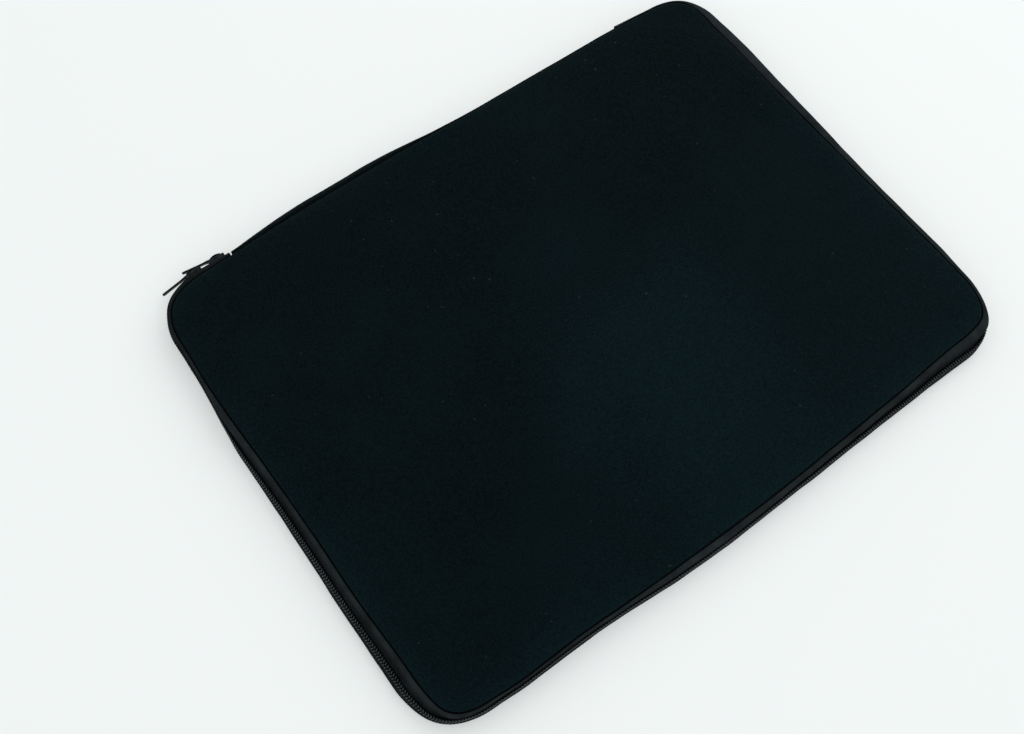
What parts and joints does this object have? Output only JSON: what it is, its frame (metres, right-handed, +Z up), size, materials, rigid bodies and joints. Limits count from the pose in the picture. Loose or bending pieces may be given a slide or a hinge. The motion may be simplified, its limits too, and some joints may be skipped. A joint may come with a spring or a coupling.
{
  "type": "laptop sleeve",
  "caption": "Padded laptop sleeve with a zip round three sides, sliders with pull tabs and a sewn spine strip; its front opens like a book cover.",
  "frame": {"origin": "middle of the zip outline on the underside, which rests on the ground", "axes": "+X along the spine, away from the parked sliders; +Y towards the spine; +Z up through the closed sleeve"},
  "size_m": [0.3513, 0.2721, 0.014],
  "materials": {
    "face_fabric": "black knitted jersey bonded to foam, matte with a faint cool sheen",
    "foam": "black closed-cell neoprene foam",
    "lining": "black brushed jersey",
    "zip_tape": "black woven polyester tape, greyer than the panels",
    "zip_coil": "black nylon monofilament, satin",
    "thread": "black polyester thread and cord",
    "binding": "black ribbed binding tape",
    "slider_metal": "dark lacquered zinc, worn a little brown at the edges"
  },
  "bodies": {
    "back_half": {"back_face_fabric": "face_fabric", "back_foam_core": "foam", "back_lining": "lining", "back_seam_thread": "thread", "back_binding_tape": "binding", "back_zip_tape": "zip_tape", "back_zip_coil": "zip_coil", "back_coil_cord": "thread", "spine_face_fabric": "face_fabric", "spine_foam_core": "foam", "spine_lining": "lining"},
    "front_half": {"front_face_fabric": "face_fabric", "front_foam_core": "foam", "front_lining": "lining", "front_seam_thread": "thread", "front_binding_tape": "binding", "front_zip_tape": "zip_tape", "front_zip_coil": "zip_coil", "front_coil_cord": "thread"},
    "slider_a": {"slider_a_body": "slider_metal"},
    "slider_b": {"slider_b_body": "slider_metal"},
    "pull_a": {"slider_a_pull": "slider_metal"},
    "pull_b": {"slider_b_pull": "slider_metal"}
  },
  "joints": [
    {"name": "front_open", "type": "hinge", "parent": "back_half", "child": "front_half", "pos_m": [0, 0.133, 0.007], "axis": [-1, 0, 0], "range_deg": [0, 178], "deforming": ["spine_face_fabric", "spine_foam_core", "spine_lining", "front_zip_tape", "front_zip_coil", "front_coil_cord"]},
    {"name": "slider_a_travel", "type": "slide", "parent": "back_half", "child": "slider_a", "axis": [1, 0, 0], "range_m": [-0.001, 0.002]},
    {"name": "slider_b_travel", "type": "hinge", "parent": "back_half", "child": "slider_b", "pos_m": [-0.145, 0.101, 0.007], "axis": [0, 0, 1], "range_deg": [0, 84]},
    {"name": "pull_a_swing", "type": "hinge", "parent": "slider_a", "child": "pull_a", "pos_m": [-0.1345, 0.1332, 0.007], "axis": [0, 0, -1], "range_deg": [0, 159]},
    {"name": "pull_b_swing", "type": "hinge", "parent": "slider_b", "child": "pull_b", "pos_m": [-0.14837, 0.13302, 0.007], "axis": [0, 0, -1], "range_deg": [0, 168]}
  ],
  "couplings": [
    {"joint": "pull_a_swing", "follows": "pull_b_swing", "ratio": 0.946}
  ]
}
